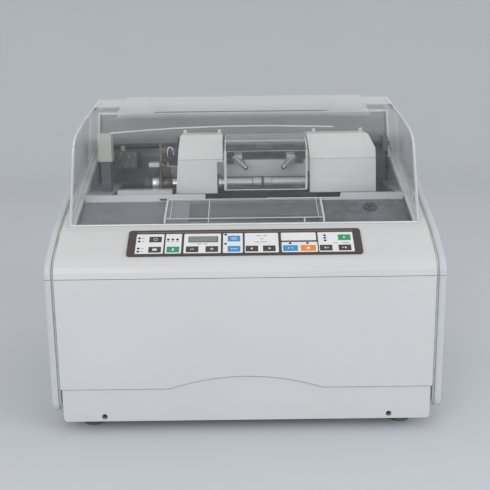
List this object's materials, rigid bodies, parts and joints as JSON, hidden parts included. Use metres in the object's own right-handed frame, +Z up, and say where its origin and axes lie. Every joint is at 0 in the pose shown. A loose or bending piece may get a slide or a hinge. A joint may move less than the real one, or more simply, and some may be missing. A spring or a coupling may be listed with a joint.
{
  "type": "automatic lens edger",
  "caption": "Table-top automatic lens edger: white casing with a sloping keypad, clear hinged hood, swinging head with lens shafts, water basin and belt-driven grinding wheels.",
  "frame": {"origin": "centre of the footprint, on the surface that the feet stand on", "axes": "+X is the operator's right, +Y runs from the front panel to the rear, +Z is up"},
  "size_m": [0.56, 0.472, 0.4637],
  "materials": {
    "casing": "white moulded plastic, semi-gloss",
    "fascia": "white moulded plastic, semi-gloss",
    "side_cover": "pale grey-white moulded plastic",
    "head_cover": "white moulded plastic, satin",
    "foot_rubber": "dark rubber",
    "frame_paint": "dark painted steel sheet",
    "dark_plastic": "dark satin plastic",
    "tray_plastic": "grey moulded plastic",
    "clear_plastic": "clear moulded plastic",
    "steel": "ground steel",
    "chrome_trim": "bright plated",
    "aluminium": "cast and machined aluminium",
    "motor_paint": "dark painted housing",
    "black_steel": "blackened steel",
    "belt_rubber": "black rubber",
    "brass": "machined brass",
    "grinding_stone": "bonded diamond abrasive",
    "overlay_film": "printed membrane film",
    "key_brown": "printed membrane key",
    "key_blue": "printed membrane key",
    "key_green": "printed membrane key",
    "key_orange": "printed membrane key"
  },
  "bodies": {
    "housing": {"base_pan": "casing", "front_panel": "casing", "rear_housing": "casing", "top_fascia": "fascia", "left_side_cover": "side_cover", "right_side_cover": "side_cover", "left_front_foot": "foot_rubber", "left_rear_foot": "foot_rubber", "right_front_foot": "foot_rubber", "right_rear_foot": "foot_rubber", "chassis": "frame_paint", "inner_back_panel": "dark_plastic", "size_block": "dark_plastic", "sensor_post": "head_cover", "power_inlet": "dark_plastic", "deck_tray": "tray_plastic", "grinding_basin": "tray_plastic", "splash_flap": "clear_plastic", "hood_hinge": "steel", "guide_shaft": "steel", "spindle_housing": "aluminium", "grinding_motor": "motor_paint", "drive_belt": "belt_rubber", "hose_fittings": "brass", "keypad_overlay": "overlay_film"},
    "hood": {"hood": "clear_plastic"},
    "screw": {"traverse_screw": "black_steel"},
    "saddle": {"saddle": "aluminium"},
    "head": {"head_yoke": "aluminium", "left_head_cover": "head_cover", "right_head_cover": "head_cover", "lens_guard": "clear_plastic", "pattern_bracket": "brass"},
    "drive": {"drive_shaft": "steel", "pattern_knob": "dark_plastic"},
    "quill": {"clamp_quill": "steel"},
    "clamp": {"clamp_shaft": "steel", "lens_pad": "belt_rubber"},
    "left_nozzle": {"left_nozzle": "chrome_trim"},
    "right_nozzle": {"right_nozzle": "chrome_trim"},
    "wheels": {"wheel_spindle": "steel", "roughing_wheel": "grinding_stone", "bevel_wheel": "grinding_stone"},
    "rotor": {"motor_pulley": "aluminium"},
    "rest": {"template_rest": "dark_plastic"},
    "rocker": {"power_rocker": "dark_plastic"},
    "key_lens": {"key_lens": "key_brown"},
    "key_mode": {"key_mode": "key_blue"},
    "key_start": {"key_start": "key_green"},
    "key_pattern": {"key_pattern": "key_brown"},
    "key_water": {"key_water": "key_green"},
    "key_minus": {"key_minus": "key_brown"},
    "key_plus": {"key_plus": "key_brown"},
    "key_size": {"key_size": "key_blue"},
    "key_left": {"key_left": "key_brown"},
    "key_right": {"key_right": "key_brown"},
    "key_clamp": {"key_clamp": "key_blue"},
    "key_stop": {"key_stop": "key_orange"},
    "key_traverse_left": {"key_traverse_left": "key_brown"},
    "key_traverse_right": {"key_traverse_right": "key_brown"}
  },
  "joints": [
    {"name": "hood_lift", "type": "hinge", "parent": "housing", "child": "hood", "pos_m": [0, 0.136, 0.4515], "axis": [-1, 0, 0], "range_deg": [0, 75]},
    {"name": "traverse", "type": "slide", "parent": "housing", "child": "saddle", "axis": [1, 0, 0], "range_m": [-0.04, 0.01]},
    {"name": "screw_turn", "type": "hinge", "parent": "housing", "child": "screw", "pos_m": [0, 0.038, 0.387], "axis": [1, 0, 0], "range_deg": [-3601, 901]},
    {"name": "head_swing", "type": "hinge", "parent": "saddle", "child": "head", "pos_m": [0, 0.082, 0.348], "axis": [-1, 0, 0], "range_deg": [-11, 2.5]},
    {"name": "lens_drive", "type": "hinge", "parent": "head", "child": "drive", "pos_m": [0, -0.036, 0.334], "axis": [1, 0, 0], "continuous": true},
    {"name": "clamp_slide", "type": "slide", "parent": "head", "child": "quill", "axis": [1, 0, 0], "range_m": [0, 0.025]},
    {"name": "clamp_turn", "type": "hinge", "parent": "quill", "child": "clamp", "pos_m": [0.1, -0.036, 0.334], "axis": [1, 0, 0], "continuous": true},
    {"name": "left_nozzle_tilt", "type": "hinge", "parent": "head", "child": "left_nozzle", "pos_m": [-0.009, 0.0095, 0.37], "axis": [1, 0, 0], "range_deg": [-15, 15]},
    {"name": "right_nozzle_tilt", "type": "hinge", "parent": "head", "child": "right_nozzle", "pos_m": [0.077, 0.0095, 0.37], "axis": [1, 0, 0], "range_deg": [-15, 15]},
    {"name": "wheel_turn", "type": "hinge", "parent": "housing", "child": "wheels", "pos_m": [0, 0.001, 0.255], "axis": [1, 0, 0], "continuous": true},
    {"name": "motor_turn", "type": "hinge", "parent": "housing", "child": "rotor", "pos_m": [0.206, 0.149, 0.091], "axis": [1, 0, 0], "continuous": true},
    {"name": "rest_lift", "type": "slide", "parent": "housing", "child": "rest", "axis": [0, 0, 1], "range_m": [0, 0.004]},
    {"name": "rocker_tilt", "type": "hinge", "parent": "housing", "child": "rocker", "pos_m": [-0.207, 0.2158, 0.11], "axis": [1, 0, 0], "range_deg": [0, 14]},
    {"name": "key_lens_press", "type": "slide", "parent": "housing", "child": "key_lens", "axis": [0, 0.5073, -0.8618], "range_m": [0, 0.0004], "stiffness_N_per_m": 400, "springref_m": -0.0002},
    {"name": "key_mode_press", "type": "slide", "parent": "housing", "child": "key_mode", "axis": [0, 0.5073, -0.8618], "range_m": [0, 0.0004], "stiffness_N_per_m": 400, "springref_m": -0.0002},
    {"name": "key_start_press", "type": "slide", "parent": "housing", "child": "key_start", "axis": [0, 0.5073, -0.8618], "range_m": [0, 0.0004], "stiffness_N_per_m": 400, "springref_m": -0.0002},
    {"name": "key_pattern_press", "type": "slide", "parent": "housing", "child": "key_pattern", "axis": [0, 0.5073, -0.8618], "range_m": [0, 0.0004], "stiffness_N_per_m": 400, "springref_m": -0.0002},
    {"name": "key_water_press", "type": "slide", "parent": "housing", "child": "key_water", "axis": [0, 0.5073, -0.8618], "range_m": [0, 0.0004], "stiffness_N_per_m": 400, "springref_m": -0.0002},
    {"name": "key_minus_press", "type": "slide", "parent": "housing", "child": "key_minus", "axis": [0, 0.5073, -0.8618], "range_m": [0, 0.0004], "stiffness_N_per_m": 400, "springref_m": -0.0002},
    {"name": "key_plus_press", "type": "slide", "parent": "housing", "child": "key_plus", "axis": [0, 0.5073, -0.8618], "range_m": [0, 0.0004], "stiffness_N_per_m": 400, "springref_m": -0.0002},
    {"name": "key_size_press", "type": "slide", "parent": "housing", "child": "key_size", "axis": [0, 0.5073, -0.8618], "range_m": [0, 0.0004], "stiffness_N_per_m": 400, "springref_m": -0.0002},
    {"name": "key_left_press", "type": "slide", "parent": "housing", "child": "key_left", "axis": [0, 0.5073, -0.8618], "range_m": [0, 0.0004], "stiffness_N_per_m": 400, "springref_m": -0.0002},
    {"name": "key_right_press", "type": "slide", "parent": "housing", "child": "key_right", "axis": [0, 0.5073, -0.8618], "range_m": [0, 0.0004], "stiffness_N_per_m": 400, "springref_m": -0.0002},
    {"name": "key_clamp_press", "type": "slide", "parent": "housing", "child": "key_clamp", "axis": [0, 0.5073, -0.8618], "range_m": [0, 0.0004], "stiffness_N_per_m": 400, "springref_m": -0.0002},
    {"name": "key_stop_press", "type": "slide", "parent": "housing", "child": "key_stop", "axis": [0, 0.5073, -0.8618], "range_m": [0, 0.0004], "stiffness_N_per_m": 400, "springref_m": -0.0002},
    {"name": "key_traverse_left_press", "type": "slide", "parent": "housing", "child": "key_traverse_left", "axis": [0, 0.5073, -0.8618], "range_m": [0, 0.0004], "stiffness_N_per_m": 400, "springref_m": -0.0002},
    {"name": "key_traverse_right_press", "type": "slide", "parent": "housing", "child": "key_traverse_right", "axis": [0, 0.5073, -0.8618], "range_m": [0, 0.0004], "stiffness_N_per_m": 400, "springref_m": -0.0002}
  ],
  "couplings": [
    {"joint": "screw_turn", "follows": "traverse", "rad_per_m": 1570.8},
    {"joint": "clamp_turn", "follows": "lens_drive", "ratio": 1},
    {"joint": "motor_turn", "follows": "wheel_turn", "ratio": 0.5}
  ]
}
